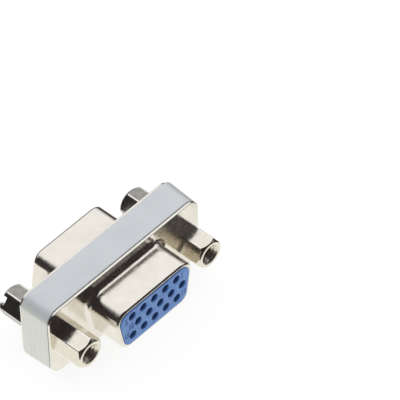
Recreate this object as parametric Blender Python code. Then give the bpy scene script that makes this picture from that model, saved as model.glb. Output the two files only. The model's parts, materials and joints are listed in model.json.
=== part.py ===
"""Socket-to-socket adapter for 15-way high-density D-sub connectors.

Two drawn steel shells each hold a blue insulator with 15 spring contacts. A grey spacer frame
lies between the shells' flanges, with a small crossover board inside it. Two slotted jack screws
run through flange, frame and flange into plain jack nuts and hold everything together.

+X runs along the flanges, the front connector faces -Y and +Z is up. The origin is the middle of
the face that the adapter stands on. Both connectors are the same parts: the rear one is turned
half a turn about the X axis, so its wide side is down.
"""

import math

import bmesh
import bpy
from mathutils import Vector

MM = 0.001

# Pin field: three rows of five, the middle row shifted by half a pitch. The whole field sits a
# little nearer the wide side of the D than its middle
PIN_PITCH = 2.29 * MM
ROW_PITCH = 1.98 * MM
PINS_IN_ROW = 5
ROWS = 3
OUTER_ROW_SHIFT = -0.16 * MM
FIELD_RISE = 0.17 * MM

# Shells: a D-shaped collar drawn from a flanged sheet, its rim curled in towards the insulator.
# The margins run outwards, from the pin field to the collar, from the collar to the screws and
# from there to the flange's edge
SHEET = 0.32 * MM
COLLAR_SIDE_MARGIN = 3.01 * MM
COLLAR_TOP_MARGIN = 1.97 * MM
COLLAR_SLANT = math.radians(10)
COLLAR_WIDE_CORNER = 2.2 * MM
COLLAR_NARROW_CORNER = 1.95 * MM
COLLAR_DEPTH = 5.8 * MM
ROOT_FILLET = 0.8 * MM
RIM_ROUND = 0.54 * MM
SCREW_MARGIN = 4.33 * MM
FLANGE_END_MARGIN = 2.89 * MM
FLANGE_TOP_MARGIN = 2.28 * MM
FLANGE_CORNER = 2.0 * MM
FLANGE_EDGE_ROUND = 0.12 * MM

# Body: the distance between the outer faces of the two flanges, and the frame between them. The
# frame's ends and top lean outwards from front to rear by its draft, its foot is flat
BODY_DEPTH = 5.75 * MM
FRAME_OVERHANG = 0.05 * MM
FRAME_DRAFT = 0.22 * MM
FRAME_EDGE_ROUND = 0.16 * MM
FRAME_FRONT_GAP = 0.15 * MM
FRAME_REAR_GAP = 0.05 * MM
FRAME_RAIL = 1.65 * MM
WINDOW_WALL = 0.49 * MM
WINDOW_CORNER = 1.0 * MM

# Insulators: a D-shaped nose on a wider base that the flange holds back
NOSE_CLEARANCE = 0.08 * MM
NOSE_PROUD = 0.2 * MM
NOSE_EDGE = 0.1 * MM
BASE_CLEARANCE = 0.2 * MM
POCKET_RIM = 1.3 * MM
POCKET_DEPTH = 0.7 * MM
POCKET_CORNER = 0.8 * MM
ENTRY_RADIUS = 0.65 * MM
ENTRY_DEPTH = 1.0 * MM
CAVITY_STEP = 0.17 * MM

# Contacts: a slit spring barrel, a collar that grips the cavity, and a solder tail
CONTACT_SETBACK = 0.15 * MM
BARREL_CLEARANCE = 0.14 * MM
BARREL_WALL = 0.22 * MM
BARREL_BORE_DEPTH = 3.6 * MM
BARREL_LEAD_IN = 0.1 * MM
GRIP_CLEARANCE = 0.04 * MM
GRIP_LENGTH = 0.9 * MM
GRIP_SETBACK = 0.15 * MM
TAIL_RADIUS = 0.25 * MM
SLIT_WIDTH = 0.2 * MM
SLIT_DEPTH = 2.8 * MM

# Crossover board between the two sets of tails
BOARD_THICKNESS = 0.8 * MM
BOARD_CLEARANCE = 0.4 * MM
BOARD_CORNER = 0.5 * MM
VIA_RADIUS = 0.2 * MM

# Jack nuts and jack screws, 4-40 UNC
THREAD_RADIUS = 1.4 * MM
HEAD_WALL = 0.875 * MM
HEX_CORNER_ROUND = 0.2 * MM
HEX_LENGTH = 5.05 * MM
END_CHAMFER = 0.51 * MM
COUNTERSINK = 0.24 * MM
STUD_CLEARANCE = 0.06 * MM
STUD_ENGAGEMENT = 2.3 * MM
STUD_TIP_CHAMFER = 0.25 * MM
SCREW_HOLE_CLEARANCE = 0.2 * MM
SCREW_BORE_DEPTH = 3.6 * MM
DRIVER_SLOT_WIDTH = 1.3 * MM
DRIVER_SLOT_DEPTH = 0.9 * MM
DRIVER_SLOT_ANGLE = math.radians(-30)

# How far each fastener ended up turned, anticlockwise as the front is seen
FRONT_LEFT_TURN = math.radians(16)
FRONT_RIGHT_TURN = math.radians(4)
REAR_LEFT_TURN = math.radians(112)
REAR_RIGHT_TURN = math.radians(-10)

# Gap between parts that are clamped or soldered face to face
SEAT_GAP = 0.05 * MM

# How far a cutter runs past what it cuts, and how close the points of a cut edge may lie
CUTTER_MARGIN = 0.5 * MM
WELD_DISTANCE = 0.003 * MM

# Facets
CORNER_SEGMENTS = 6
FILLET_SEGMENTS = 4
CURL_SEGMENTS = 3
ROUND_SEGMENTS = 2
HOLE_SEGMENTS = 20
PIN_HOLE_SEGMENTS = 14
CONTACT_SEGMENTS = 8
VIA_SEGMENTS = 8
HEX_SEGMENTS = 24
HEX_SIDES = 6
SMOOTH_ANGLE = math.radians(32)

# Widths and heights, from the pin field outwards
ROW_STAGGER = PIN_PITCH / 2
FIELD_WIDTH = (PINS_IN_ROW - 1) * PIN_PITCH + ROW_STAGGER
FIELD_HEIGHT = (ROWS - 1) * ROW_PITCH
COLLAR_WIDTH = FIELD_WIDTH + 2 * COLLAR_SIDE_MARGIN
COLLAR_HEIGHT = FIELD_HEIGHT + 2 * COLLAR_TOP_MARGIN
SCREW_SPACING = COLLAR_WIDTH + 2 * SCREW_MARGIN
FLANGE_WIDTH = SCREW_SPACING + 2 * FLANGE_END_MARGIN
FLANGE_HEIGHT = COLLAR_HEIGHT + 2 * FLANGE_TOP_MARGIN
FRAME_WIDTH = FLANGE_WIDTH + 2 * FRAME_OVERHANG
FRAME_HEIGHT = FLANGE_HEIGHT + 2 * FRAME_OVERHANG
FRAME_CORNER = FLANGE_CORNER + FRAME_OVERHANG
SCREW_HOLE_RADIUS = THREAD_RADIUS + SCREW_HOLE_CLEARANCE
WINDOW_WIDTH = SCREW_SPACING - 2 * (SCREW_HOLE_RADIUS + WINDOW_WALL)
WINDOW_HEIGHT = FRAME_HEIGHT - 2 * FRAME_RAIL
AXIS_HEIGHT = FRAME_HEIGHT / 2
NOSE_OFFSET = -(RIM_ROUND + NOSE_CLEARANCE)
RIM_INNER_ROUND = RIM_ROUND - SHEET
CAVITY_RADIUS = ENTRY_RADIUS + CAVITY_STEP
BARREL_RADIUS = CAVITY_RADIUS - BARREL_CLEARANCE
BARREL_BORE_RADIUS = BARREL_RADIUS - BARREL_WALL
HEX_CORNER_RADIUS = (THREAD_RADIUS + HEAD_WALL) / math.cos(math.pi / HEX_SIDES)
END_RING_RADIUS = HEX_CORNER_RADIUS - END_CHAMFER

# Distances from the adapter's middle plane, towards the outside of either connector
FLANGE_FACE = BODY_DEPTH / 2
FLANGE_BACK = FLANGE_FACE - SHEET
COLLAR_RIM = FLANGE_FACE + COLLAR_DEPTH
NOSE_FACE = COLLAR_RIM + NOSE_PROUD
BASE_FACE = FLANGE_BACK - SEAT_GAP
BOARD_FACE = BOARD_THICKNESS / 2
BASE_BACK = BOARD_FACE + SEAT_GAP
POCKET_FLOOR = BASE_BACK + POCKET_DEPTH
CONTACT_MOUTH = NOSE_FACE - ENTRY_DEPTH - CONTACT_SETBACK
HEX_SEAT = FLANGE_FACE + SEAT_GAP
HEX_END = FLANGE_FACE + HEX_LENGTH


def clear_scene():
    for item in list(bpy.data.objects):
        bpy.data.objects.remove(item)


def make_material(name, colour, roughness, metallic):
    material = bpy.data.materials.new(name)
    material.use_nodes = True
    shader = material.node_tree.nodes["Principled BSDF"]
    shader.inputs["Base Color"].default_value = (*colour, 1.0)
    shader.inputs["Roughness"].default_value = roughness
    shader.inputs["Metallic"].default_value = metallic
    return material


def outline(corners, radii, offset=0.0, segments=CORNER_SEGMENTS):
    """Points (x, z) round a convex polygon, anticlockwise, each corner rounded to its radius.

    An offset moves the whole outline outwards and keeps the centres of its corner arcs.
    """
    points = []
    for index, (corner, radius) in enumerate(zip(corners, radii)):
        corner = Vector(corner)
        before = (Vector(corners[index - 1]) - corner).normalized()
        after = (Vector(corners[(index + 1) % len(corners)]) - corner).normalized()
        half_angle = before.angle(after) / 2
        centre = corner + (before + after).normalized() * radius / math.sin(half_angle)
        start = math.atan2(before.x, -before.y)
        sweep = math.pi - 2 * half_angle
        for step in range(segments + 1):
            angle = start + sweep * step / segments
            reach = radius + offset
            points.append((centre.x + reach * math.cos(angle), centre.y + reach * math.sin(angle)))
    return points


def rectangle_outline(width, height, corner_radius, offset=0.0):
    right, top = width / 2, height / 2
    corners = [(right, top), (-right, top), (-right, -top), (right, -top)]
    return outline(corners, [corner_radius] * len(corners), offset)


def collar_outline(offset=0.0):
    """The D of the collar's outer wall, wide side up, or a parallel of it."""
    right, top = COLLAR_WIDTH / 2, COLLAR_HEIGHT / 2
    narrow = right - COLLAR_HEIGHT * math.tan(COLLAR_SLANT)
    corners = [(right, top), (-right, top), (-narrow, -top), (narrow, -top)]
    radii = [COLLAR_WIDE_CORNER] * 2 + [COLLAR_NARROW_CORNER] * 2
    return outline(corners, radii, offset)


def flange_outline(offset=0.0):
    return rectangle_outline(FLANGE_WIDTH, FLANGE_HEIGHT, FLANGE_CORNER, offset)


def frame_outline(draft, offset):
    """The frame's outer wall, grown by this draft at its ends and top but not at its foot."""
    points = rectangle_outline(FRAME_WIDTH + 2 * draft, FRAME_HEIGHT + draft, FRAME_CORNER, offset)
    return [(x, z + draft / 2) for x, z in points]


def circle_outline(centre, radius, segments):
    x, z = centre
    angles = [2 * math.pi * step / segments for step in range(segments)]
    return [(x + radius * math.cos(angle), z + radius * math.sin(angle)) for angle in angles]


def hexagon_outline(corner_radius):
    return circle_outline((0.0, 0.0), corner_radius, HEX_SIDES)


def ring(mesh, points, out):
    """A ring of vertices at this distance out from the middle plane, facing the front."""
    return [mesh.verts.new((x, -out, z)) for x, z in points]


def skin(mesh, rings):
    """Quads between each ring and the next, which has as many points."""
    for first, second in zip(rings, rings[1:]):
        for index in range(len(first)):
            following = (index + 1) % len(first)
            mesh.faces.new((first[index], first[following], second[following], second[index]))


def cap(mesh, rings):
    """A flat face bounded by the first ring, with each other ring a hole in it."""
    edges = []
    for points in rings:
        for index, point in enumerate(points):
            pair = (points[index - 1], point)
            edges.append(mesh.edges.get(pair) or mesh.edges.new(pair))
    bmesh.ops.triangle_fill(mesh, use_beauty=True, edges=edges)


def finish_mesh(mesh, name):
    """Turns a closed bmesh into mesh data with outward normals and smooth round faces."""
    bmesh.ops.recalc_face_normals(mesh, faces=mesh.faces)
    data = bpy.data.meshes.new(name)
    mesh.to_mesh(data)
    mesh.free()
    data.shade_smooth()
    data.set_sharp_from_angle(angle=SMOOTH_ANGLE)
    return data


def revolve(name, profile, segments, closed):
    """Turns a profile of (radius, out) points about the Y axis.

    A closed profile makes a ring with a through bore. An open one starts and ends with a flat
    disc, which its first and last points bound.
    """
    mesh = bmesh.new()
    rings = [ring(mesh, circle_outline((0.0, 0.0), radius, segments), out) for radius, out in profile]
    if closed:
        skin(mesh, rings + rings[:1])
    else:
        skin(mesh, rings)
        mesh.faces.new(rings[0])
        mesh.faces.new(rings[-1])
    return finish_mesh(mesh, name)


def quarter_arc(segments):
    """Sine and cosine at even steps over a quarter turn."""
    angles = [math.pi / 2 * step / segments for step in range(segments + 1)]
    return [(math.sin(angle), math.cos(angle)) for angle in angles]


def place(name, data, material, location, rotation=(0.0, 0.0, 0.0), parent=None):
    item = bpy.data.objects.new(name, data)
    if not data.materials:
        data.materials.append(material)
    bpy.context.collection.objects.link(item)
    item.location = location
    item.rotation_euler = rotation
    item.parent = parent
    return item


def make_cutter(name, data):
    cutter = bpy.data.objects.new(name, data)
    bpy.context.collection.objects.link(cutter)
    cutter.hide_render = True
    cutter.display_type = "WIRE"
    return cutter


def box_cutter(name, size, centre, turn=0.0):
    """A box that is turned about the Y axis, anticlockwise as the front is seen."""
    mesh = bmesh.new()
    bmesh.ops.create_cube(mesh, size=1.0)
    for vertex in mesh.verts:
        x, y, z = (extent * place_in_unit for extent, place_in_unit in zip(size, vertex.co))
        turned_x = x * math.cos(turn) - z * math.sin(turn)
        turned_z = x * math.sin(turn) + z * math.cos(turn)
        vertex.co = Vector((turned_x, y, turned_z)) + Vector(centre)
    return make_cutter(name, finish_mesh(mesh, name))


def cut(data, cutters, solver="EXACT"):
    """A copy of the mesh with each cutter taken out of it."""
    work = bpy.data.objects.new("work", data)
    bpy.context.collection.objects.link(work)
    for cutter in cutters:
        modifier = work.modifiers.new(cutter.name, "BOOLEAN")
        modifier.operation = "DIFFERENCE"
        modifier.solver = solver
        modifier.object = cutter
    bpy.context.view_layer.update()
    evaluated = work.evaluated_get(bpy.context.evaluated_depsgraph_get())
    mesh = bmesh.new()
    mesh.from_mesh(evaluated.to_mesh())
    bmesh.ops.remove_doubles(mesh, verts=mesh.verts, dist=WELD_DISTANCE)
    bpy.data.objects.remove(work)
    for cutter in cutters:
        bpy.data.objects.remove(cutter)
    return finish_mesh(mesh, data.name)


def screw_places():
    return [(-SCREW_SPACING / 2, 0.0), (SCREW_SPACING / 2, 0.0)]


def pin_places():
    """Pins 1 to 15 as (x, z): each row counts from right to left, the rows from top to bottom."""
    places = []
    for row in range(ROWS):
        middle_row = row % 2 == 1
        shift = OUTER_ROW_SHIFT + (ROW_STAGGER if middle_row else 0.0)
        height = FIELD_RISE + ROW_PITCH * ((ROWS - 1) / 2 - row)
        for pin in range(PINS_IN_ROW):
            places.append((shift + PIN_PITCH * ((PINS_IN_ROW - 1) / 2 - pin), height))
    return places


def shell_mesh():
    """One sheet of even thickness: flange, root bend, collar and the curl of its rim."""
    mesh = bmesh.new()

    back_bend = []
    for sine, cosine in quarter_arc(FILLET_SEGMENTS):
        reach = ROOT_FILLET + SHEET
        offset = ROOT_FILLET - reach * sine
        back_bend.append(ring(mesh, collar_outline(offset), FLANGE_FACE + ROOT_FILLET - reach * cosine))
    curl_inside = []
    curl_outside = []
    for sine, cosine in quarter_arc(CURL_SEGMENTS):
        centre_out = COLLAR_RIM - RIM_ROUND
        inside = collar_outline(RIM_INNER_ROUND * cosine - RIM_ROUND)
        curl_inside.append(ring(mesh, inside, centre_out + RIM_INNER_ROUND * sine))
        outside = collar_outline(RIM_ROUND * (cosine - 1))
        curl_outside.append(ring(mesh, outside, centre_out + RIM_ROUND * sine))
    front_bend = []
    for sine, cosine in reversed(quarter_arc(FILLET_SEGMENTS)):
        offset = ROOT_FILLET * (1 - sine)
        front_bend.append(ring(mesh, collar_outline(offset), FLANGE_FACE + ROOT_FILLET * (1 - cosine)))
    skin(mesh, back_bend + curl_inside + curl_outside[::-1] + front_bend)

    flange_edge = []
    for sine, cosine in quarter_arc(ROUND_SEGMENTS):
        offset = FLANGE_EDGE_ROUND * (sine - 1)
        depth = FLANGE_FACE - FLANGE_EDGE_ROUND * (1 - cosine)
        flange_edge.append(ring(mesh, flange_outline(offset), depth))
    flange_edge.append(ring(mesh, flange_outline(), FLANGE_BACK))
    skin(mesh, flange_edge)

    front_holes = []
    back_holes = []
    for centre in screw_places():
        circle = circle_outline(centre, SCREW_HOLE_RADIUS, HOLE_SEGMENTS)
        front_holes.append(ring(mesh, circle, FLANGE_FACE))
        back_holes.append(ring(mesh, circle, FLANGE_BACK))
        skin(mesh, [front_holes[-1], back_holes[-1]])
    cap(mesh, [flange_edge[0], front_bend[-1], *front_holes])
    cap(mesh, [flange_edge[-1], back_bend[0], *back_holes])
    return finish_mesh(mesh, "shell")


def insulator_mesh():
    """D-shaped nose on a base with a pocket for the solder tails, and 15 stepped cavities."""
    mesh = bmesh.new()
    base_width = WINDOW_WIDTH - 2 * BASE_CLEARANCE
    base_height = WINDOW_HEIGHT - 2 * BASE_CLEARANCE
    base_corner = WINDOW_CORNER - BASE_CLEARANCE
    pocket_width = base_width - 2 * POCKET_RIM
    pocket_height = base_height - 2 * POCKET_RIM

    nose = [
        ring(mesh, collar_outline(NOSE_OFFSET - NOSE_EDGE), NOSE_FACE),
        ring(mesh, collar_outline(NOSE_OFFSET), NOSE_FACE - NOSE_EDGE),
        ring(mesh, collar_outline(NOSE_OFFSET), BASE_FACE),
    ]
    skin(mesh, nose)
    base_points = rectangle_outline(base_width, base_height, base_corner)
    base = [ring(mesh, base_points, BASE_FACE), ring(mesh, base_points, BASE_BACK)]
    skin(mesh, base)
    cap(mesh, [base[0], nose[-1]])
    pocket_points = rectangle_outline(pocket_width, pocket_height, POCKET_CORNER)
    pocket = [ring(mesh, pocket_points, BASE_BACK), ring(mesh, pocket_points, POCKET_FLOOR)]
    skin(mesh, pocket)
    cap(mesh, [base[-1], pocket[0]])

    mouths = []
    cavity_ends = []
    for centre in pin_places():
        entry = circle_outline(centre, ENTRY_RADIUS, PIN_HOLE_SEGMENTS)
        cavity = circle_outline(centre, CAVITY_RADIUS, PIN_HOLE_SEGMENTS)
        hole = [
            ring(mesh, entry, NOSE_FACE),
            ring(mesh, entry, NOSE_FACE - ENTRY_DEPTH),
            ring(mesh, cavity, NOSE_FACE - ENTRY_DEPTH),
            ring(mesh, cavity, POCKET_FLOOR),
        ]
        skin(mesh, hole)
        mouths.append(hole[0])
        cavity_ends.append(hole[-1])
    cap(mesh, [nose[0], *mouths])
    cap(mesh, [pocket[-1], *cavity_ends])
    return finish_mesh(mesh, "insulator")


def contact_mesh():
    """A turned blank with a bored barrel, slit across into two spring tines."""
    grip_radius = CAVITY_RADIUS - GRIP_CLEARANCE
    grip_back = POCKET_FLOOR + GRIP_SETBACK
    grip_front = grip_back + GRIP_LENGTH
    profile = [
        (BARREL_BORE_RADIUS, CONTACT_MOUTH - BARREL_BORE_DEPTH),
        (BARREL_BORE_RADIUS, CONTACT_MOUTH - BARREL_LEAD_IN),
        (BARREL_BORE_RADIUS + BARREL_LEAD_IN, CONTACT_MOUTH),
        (BARREL_RADIUS, CONTACT_MOUTH),
        (BARREL_RADIUS, grip_front),
        (grip_radius, grip_front),
        (grip_radius, grip_back),
        (TAIL_RADIUS, grip_back),
        (TAIL_RADIUS, BOARD_FACE + SEAT_GAP),
    ]
    blank = revolve("contact", profile, CONTACT_SEGMENTS, closed=False)
    slit_middle = (0.0, -CONTACT_MOUTH, 0.0)
    slit_size = (SLIT_WIDTH, 2 * SLIT_DEPTH, 2 * (BARREL_RADIUS + CUTTER_MARGIN))
    return cut(blank, [box_cutter("slit", slit_size, slit_middle)])


def frame_mesh():
    """The spacer frame: a window for the insulators' bases and a bore for each stud."""
    front = FLANGE_BACK - FRAME_FRONT_GAP
    rear = -(FLANGE_BACK - FRAME_REAR_GAP)
    mesh = bmesh.new()

    sides = []
    for sine, cosine in quarter_arc(ROUND_SEGMENTS):
        points = frame_outline(0.0, FRAME_EDGE_ROUND * (sine - 1))
        sides.append(ring(mesh, points, front - FRAME_EDGE_ROUND * (1 - cosine)))
    for sine, cosine in reversed(quarter_arc(ROUND_SEGMENTS)):
        points = frame_outline(FRAME_DRAFT, FRAME_EDGE_ROUND * (sine - 1))
        sides.append(ring(mesh, points, rear + FRAME_EDGE_ROUND * (1 - cosine)))
    skin(mesh, sides)

    openings = [rectangle_outline(WINDOW_WIDTH, WINDOW_HEIGHT, WINDOW_CORNER)]
    for centre in screw_places():
        openings.append(circle_outline(centre, SCREW_HOLE_RADIUS, HOLE_SEGMENTS))
    front_rings = [ring(mesh, points, front) for points in openings]
    rear_rings = [ring(mesh, points, rear) for points in openings]
    for front_ring, rear_ring in zip(front_rings, rear_rings):
        skin(mesh, [front_ring, rear_ring])
    cap(mesh, [sides[0], *front_rings])
    cap(mesh, [sides[-1], *rear_rings])
    return finish_mesh(mesh, "frame")


def board_mesh():
    """A plate that seats on the two bases' pocket rims, with the vias of the crossed rows."""
    mesh = bmesh.new()
    width = WINDOW_WIDTH - 2 * BOARD_CLEARANCE
    height = WINDOW_HEIGHT - 2 * BOARD_CLEARANCE
    edge_points = rectangle_outline(width, height, BOARD_CORNER)
    edge = [ring(mesh, edge_points, BOARD_FACE), ring(mesh, edge_points, -BOARD_FACE)]
    skin(mesh, edge)
    front_vias = []
    rear_vias = []
    for x, z in pin_places():
        if abs(z) < ROW_PITCH / 2:
            continue
        via_centre = (x + ROW_STAGGER, z)
        points = circle_outline(via_centre, VIA_RADIUS, VIA_SEGMENTS)
        front_vias.append(ring(mesh, points, BOARD_FACE))
        rear_vias.append(ring(mesh, points, -BOARD_FACE))
        skin(mesh, [front_vias[-1], rear_vias[-1]])
    cap(mesh, [edge[0], *front_vias])
    cap(mesh, [edge[-1], *rear_vias])
    return finish_mesh(mesh, "board")


def hex_ring_cutter():
    """Everything outside the hexagon, along the length of the head."""
    mesh = bmesh.new()
    corners = hexagon_outline(HEX_CORNER_RADIUS)
    radii = [HEX_CORNER_ROUND] * HEX_SIDES
    inner = outline(corners, radii, segments=ROUND_SEGMENTS)
    outer = outline(corners, radii, HEX_CORNER_RADIUS, ROUND_SEGMENTS)
    near = HEX_SEAT - SEAT_GAP
    far = HEX_END + CUTTER_MARGIN
    stations = [(inner, near), (inner, far), (outer, far), (outer, near)]
    rings = [ring(mesh, points, out) for points, out in stations]
    skin(mesh, rings + rings[:1])
    return make_cutter("hex_ring", finish_mesh(mesh, "hex_ring"))


def head_profile():
    """The head's outside from its seat to the mouth of its bore, and the countersink."""
    return [
        (HEX_CORNER_RADIUS, HEX_SEAT),
        (HEX_CORNER_RADIUS, HEX_END - END_CHAMFER),
        (END_RING_RADIUS, HEX_END),
        (THREAD_RADIUS + COUNTERSINK, HEX_END),
        (THREAD_RADIUS, HEX_END - COUNTERSINK),
    ]


def jack_nut_mesh():
    """A hexagon nut with one chamfered end and a through bore."""
    profile = [*head_profile(), (THREAD_RADIUS, HEX_SEAT)]
    blank = revolve("jack_nut", profile, HEX_SEGMENTS, closed=True)
    return cut(blank, [hex_ring_cutter()])


def jack_screw_mesh():
    """A hexagon head with a threaded socket and a driver slot, and the long stud behind it."""
    stud_radius = THREAD_RADIUS - STUD_CLEARANCE
    stud_tip = -(FLANGE_FACE + STUD_ENGAGEMENT)
    profile = [
        (stud_radius - STUD_TIP_CHAMFER, stud_tip),
        (stud_radius, stud_tip + STUD_TIP_CHAMFER),
        (stud_radius, HEX_SEAT),
        *head_profile(),
        (THREAD_RADIUS, HEX_END - SCREW_BORE_DEPTH),
    ]
    blank = revolve("jack_screw", profile, HEX_SEGMENTS, closed=False)
    slot_size = (2 * (HEX_CORNER_RADIUS + CUTTER_MARGIN), 2 * DRIVER_SLOT_DEPTH, DRIVER_SLOT_WIDTH)
    slot_middle = (0.0, -HEX_END, 0.0)
    slot = box_cutter("driver_slot", slot_size, slot_middle, DRIVER_SLOT_ANGLE)
    # The exact solver loses a face where the slot's cut follows the hexagon's
    return cut(blank, [hex_ring_cutter(), slot], solver="MANIFOLD")


def make_connector(side, rotation, shell, insulator, contact, materials):
    """One shell with its insulator and contacts, on an empty at the middle of the adapter."""
    centre = bpy.data.objects.new(side + "_connector", None)
    bpy.context.collection.objects.link(centre)
    centre.location = (0.0, 0.0, AXIS_HEIGHT)
    centre.rotation_euler = rotation
    here = (0.0, 0.0, 0.0)
    place(side + "_shell", shell, materials["nickel"], here, parent=centre)
    place(side + "_insulator", insulator, materials["blue"], here, parent=centre)
    for number, (x, z) in enumerate(pin_places(), start=1):
        name = f"{side}_contact_{number:02d}"
        place(name, contact, materials["contact"], (x, 0.0, z), parent=centre)


def make_fasteners(materials):
    """Plain nuts in front and slotted screws behind. A turn is read as the front is seen."""
    half_turn = math.pi
    nut = jack_nut_mesh()
    screw = jack_screw_mesh()
    left = (-SCREW_SPACING / 2, 0.0, AXIS_HEIGHT)
    right = (SCREW_SPACING / 2, 0.0, AXIS_HEIGHT)
    steel = materials["hardware"]
    place("front_left_jack_nut", nut, steel, left, (0.0, -FRONT_LEFT_TURN, 0.0))
    place("front_right_jack_nut", nut, steel, right, (0.0, -FRONT_RIGHT_TURN, 0.0))
    place("rear_left_jack_screw", screw, steel, left, (half_turn, -REAR_LEFT_TURN, 0.0))
    place("rear_right_jack_screw", screw, steel, right, (half_turn, -REAR_RIGHT_TURN, 0.0))


def main():
    clear_scene()
    materials = {
        "nickel": make_material("nickel_plate", (0.78, 0.75, 0.68), 0.22, 1.0),
        "hardware": make_material("plated_hardware", (0.76, 0.73, 0.66), 0.18, 1.0),
        "frame": make_material("satin_grey", (0.58, 0.61, 0.64), 0.45, 0.3),
        "blue": make_material("blue_moulding", (0.12, 0.26, 0.62), 0.5, 0.0),
        "contact": make_material("plated_contact", (0.83, 0.62, 0.28), 0.3, 1.0),
        "board": make_material("board_laminate", (0.04, 0.22, 0.1), 0.6, 0.0),
    }
    shell = shell_mesh()
    insulator = insulator_mesh()
    contact = contact_mesh()
    make_connector("front", (0.0, 0.0, 0.0), shell, insulator, contact, materials)
    make_connector("rear", (math.pi, 0.0, 0.0), shell, insulator, contact, materials)
    middle = (0.0, 0.0, AXIS_HEIGHT)
    place("spacer_frame", frame_mesh(), materials["frame"], middle)
    place("crossover_board", board_mesh(), materials["board"], middle)
    make_fasteners(materials)
    bpy.context.view_layer.update()


main()
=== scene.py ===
"""The looks of a small socket-to-socket D-sub adapter.

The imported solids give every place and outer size. The shells, insulators, fasteners, contacts and
the spacer frame are modelled again here with fine roundings, and get their threads, numerals and
surface finish. Everything is in metres, in the frame of the solids.
"""

import json
import math

import bmesh
import bpy
from mathutils import Matrix, Vector

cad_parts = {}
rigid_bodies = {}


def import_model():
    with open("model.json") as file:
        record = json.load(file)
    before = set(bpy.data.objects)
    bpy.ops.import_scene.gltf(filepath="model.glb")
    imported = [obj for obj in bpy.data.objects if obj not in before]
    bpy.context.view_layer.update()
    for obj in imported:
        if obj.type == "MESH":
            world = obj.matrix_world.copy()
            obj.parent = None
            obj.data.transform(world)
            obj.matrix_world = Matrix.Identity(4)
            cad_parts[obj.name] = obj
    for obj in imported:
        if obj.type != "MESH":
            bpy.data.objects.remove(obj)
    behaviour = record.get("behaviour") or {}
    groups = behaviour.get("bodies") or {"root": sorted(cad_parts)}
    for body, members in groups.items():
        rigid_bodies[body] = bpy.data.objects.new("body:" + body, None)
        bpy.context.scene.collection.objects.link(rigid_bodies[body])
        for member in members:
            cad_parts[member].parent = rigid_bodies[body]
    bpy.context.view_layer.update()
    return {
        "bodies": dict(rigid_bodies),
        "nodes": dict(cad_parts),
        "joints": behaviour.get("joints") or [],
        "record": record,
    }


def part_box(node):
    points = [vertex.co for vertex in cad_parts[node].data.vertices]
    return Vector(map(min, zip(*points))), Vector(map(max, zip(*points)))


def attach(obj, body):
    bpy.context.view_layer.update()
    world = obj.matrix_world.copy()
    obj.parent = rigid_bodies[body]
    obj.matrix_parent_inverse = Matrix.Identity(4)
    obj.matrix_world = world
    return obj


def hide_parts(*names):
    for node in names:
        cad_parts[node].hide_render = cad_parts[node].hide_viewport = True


MM = 0.001

# Sheet metal, a hair thicker than in the solids, with a tighter rim in front and a rounder one at
# the rear. Each rim has a flat lip, which ends a little way inside the collar's outer wall
SHEET = 0.37 * MM
COLLAR_SLANT = math.radians(10)
COLLAR_WIDE_CORNER = 2.2 * MM
COLLAR_NARROW_CORNER = 1.95 * MM
COLLAR_WIDTH = 16.325 * MM
COLLAR_HEIGHT = 7.9 * MM
ROOT_FILLET = 0.8 * MM
FRONT_RIM_ROUND = 0.36 * MM
REAR_RIM_ROUND = 0.57 * MM
RIM_INNER_ROUND = 0.05 * MM
RIM_LIP_END = 0.59 * MM
FLANGE_CORNER = 2.0 * MM
FLANGE_EDGE_ROUND = 0.06 * MM

# Spacer frame and insulators
FRAME_DRAFT = 0.22 * MM
FRAME_CORNER = 2.05 * MM
FRAME_EDGE_ROUND = 0.16 * MM
WINDOW_CORNER = 1.0 * MM
WINDOW_CLEARANCE = 0.2 * MM
BASE_SETBACK = 0.05 * MM
NOSE_CLEARANCE = 0.03 * MM
NOSE_EDGE = 0.1 * MM
POCKET_RIM = 1.3 * MM
POCKET_DEPTH = 0.7 * MM
POCKET_CORNER = 0.8 * MM
ENTRY_RADIUS = 0.65 * MM
ENTRY_DEPTH = 1.0 * MM
ENTRY_ROUND = 0.2 * MM
CAVITY_RADIUS = 0.82 * MM

# Contacts
PIN_COUNT = 15
BARREL_RADIUS = 0.68 * MM
BARREL_BORE_RADIUS = 0.46 * MM
BARREL_BORE_DEPTH = 3.6 * MM
BARREL_LEAD_IN = 0.1 * MM
GRIP_CLEARANCE = 0.04 * MM
GRIP_LENGTH = 0.9 * MM
GRIP_SETBACK = 0.15 * MM
TAIL_RADIUS = 0.25 * MM
SLIT_WIDTH = 0.2 * MM
SLIT_DEPTH = 2.8 * MM

# Jack nuts and screws, 4-40 UNC
HEX_SIDES = 6
HEX_ACROSS_FLATS = 4.55 * MM
HEX_CORNER_RADIUS = HEX_ACROSS_FLATS / math.sqrt(3)
HEX_CORNER_ROUND = 0.2 * MM
HEX_EDGE_ROUND = 0.035 * MM
END_CHAMFER = 0.51 * MM
THREAD_PITCH = 0.635 * MM
THREAD_RADIUS = 1.4 * MM
THREAD_HEIGHT = 0.3 * MM
COUNTERSINK = 0.24 * MM
SCREW_BORE_DEPTH = 3.6 * MM
STUD_CLEARANCE = 0.06 * MM
STUD_TIP_CHAMFER = 0.25 * MM
SCREW_HOLE_RADIUS = 1.6 * MM
DRIVER_SLOT_WIDTH = 1.3 * MM
DRIVER_SLOT_DEPTH = 0.9 * MM
DRIVER_SLOT_ANGLE = math.radians(-30)
FRONT_LEFT_TURN = math.radians(16)
FRONT_RIGHT_TURN = math.radians(4)
REAR_LEFT_TURN = math.radians(112)
REAR_RIGHT_TURN = math.radians(-10)
LINER_OVERLAP = 0.03 * MM
CUTTER_MARGIN = 0.5 * MM
CUTTER_OVERLAP = 0.05 * MM

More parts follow.
